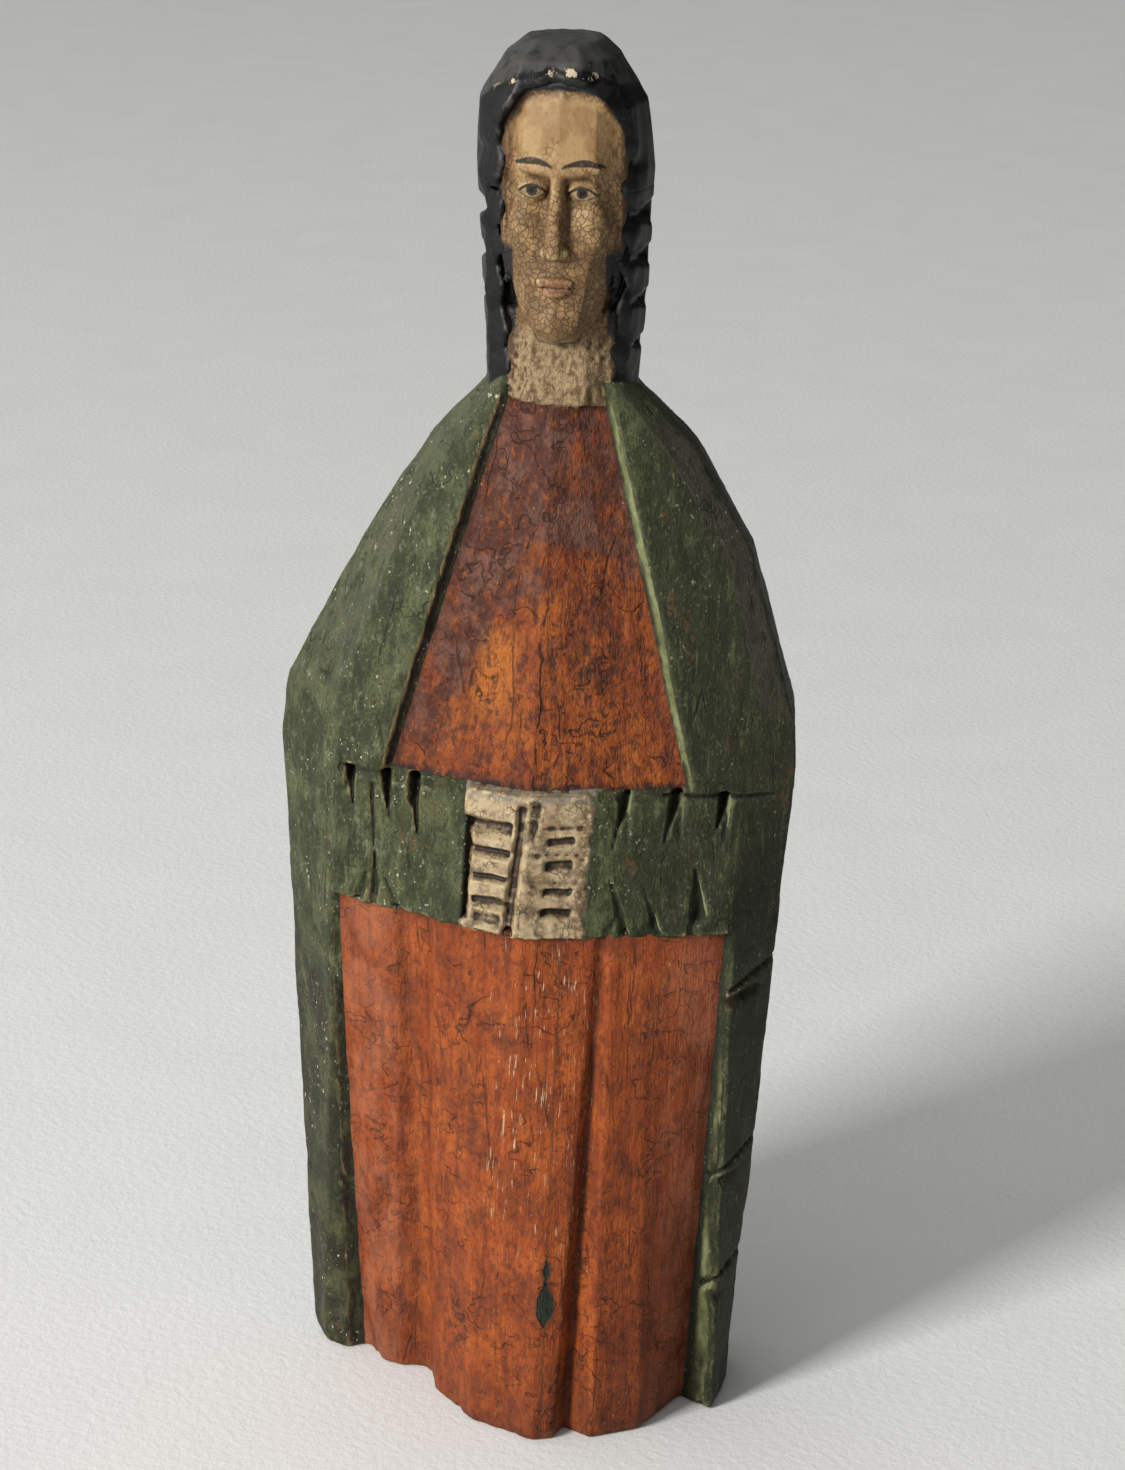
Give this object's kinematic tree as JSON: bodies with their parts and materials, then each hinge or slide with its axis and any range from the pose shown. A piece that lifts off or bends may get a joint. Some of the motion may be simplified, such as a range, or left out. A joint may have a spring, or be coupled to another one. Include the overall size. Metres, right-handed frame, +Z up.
{
  "type": "carved madonna statue",
  "caption": "Standing carved and painted wooden madonna, hands folded under a green mantle, long orange robe, flat underside to stand on.",
  "frame": {"origin": "on the ground under the middle of the outline", "axes": "+Z up along the figure, the figure faces -Y, +X to the right of someone looking at its front"},
  "size_m": [0.13, 0.07, 0.35],
  "materials": {
    "bare_wood": "bare knife-cut wood",
    "robe_orange": "aged satin paint on wood, cracked",
    "robe_red": "aged satin paint on wood, cracked and darkened",
    "mantle_green": "aged satin paint on wood, rubbed at the edges",
    "skin": "aged cream paint on wood, cracked",
    "hair_black": "satin black paint on wood"
  },
  "bodies": {
    "root": {"wood_core": "bare_wood", "skirt": "robe_orange", "bodice": "robe_red", "hand_left": "skin", "hand_right": "skin", "sleeve_left": "mantle_green", "sleeve_right": "mantle_green", "mantle_left": "mantle_green", "mantle_right": "mantle_green", "mantle_back": "mantle_green", "head_and_neck": "skin", "hair_cap": "hair_black", "hair_lock_left": "hair_black", "hair_lock_right": "hair_black"}
  },
  "joints": []
}
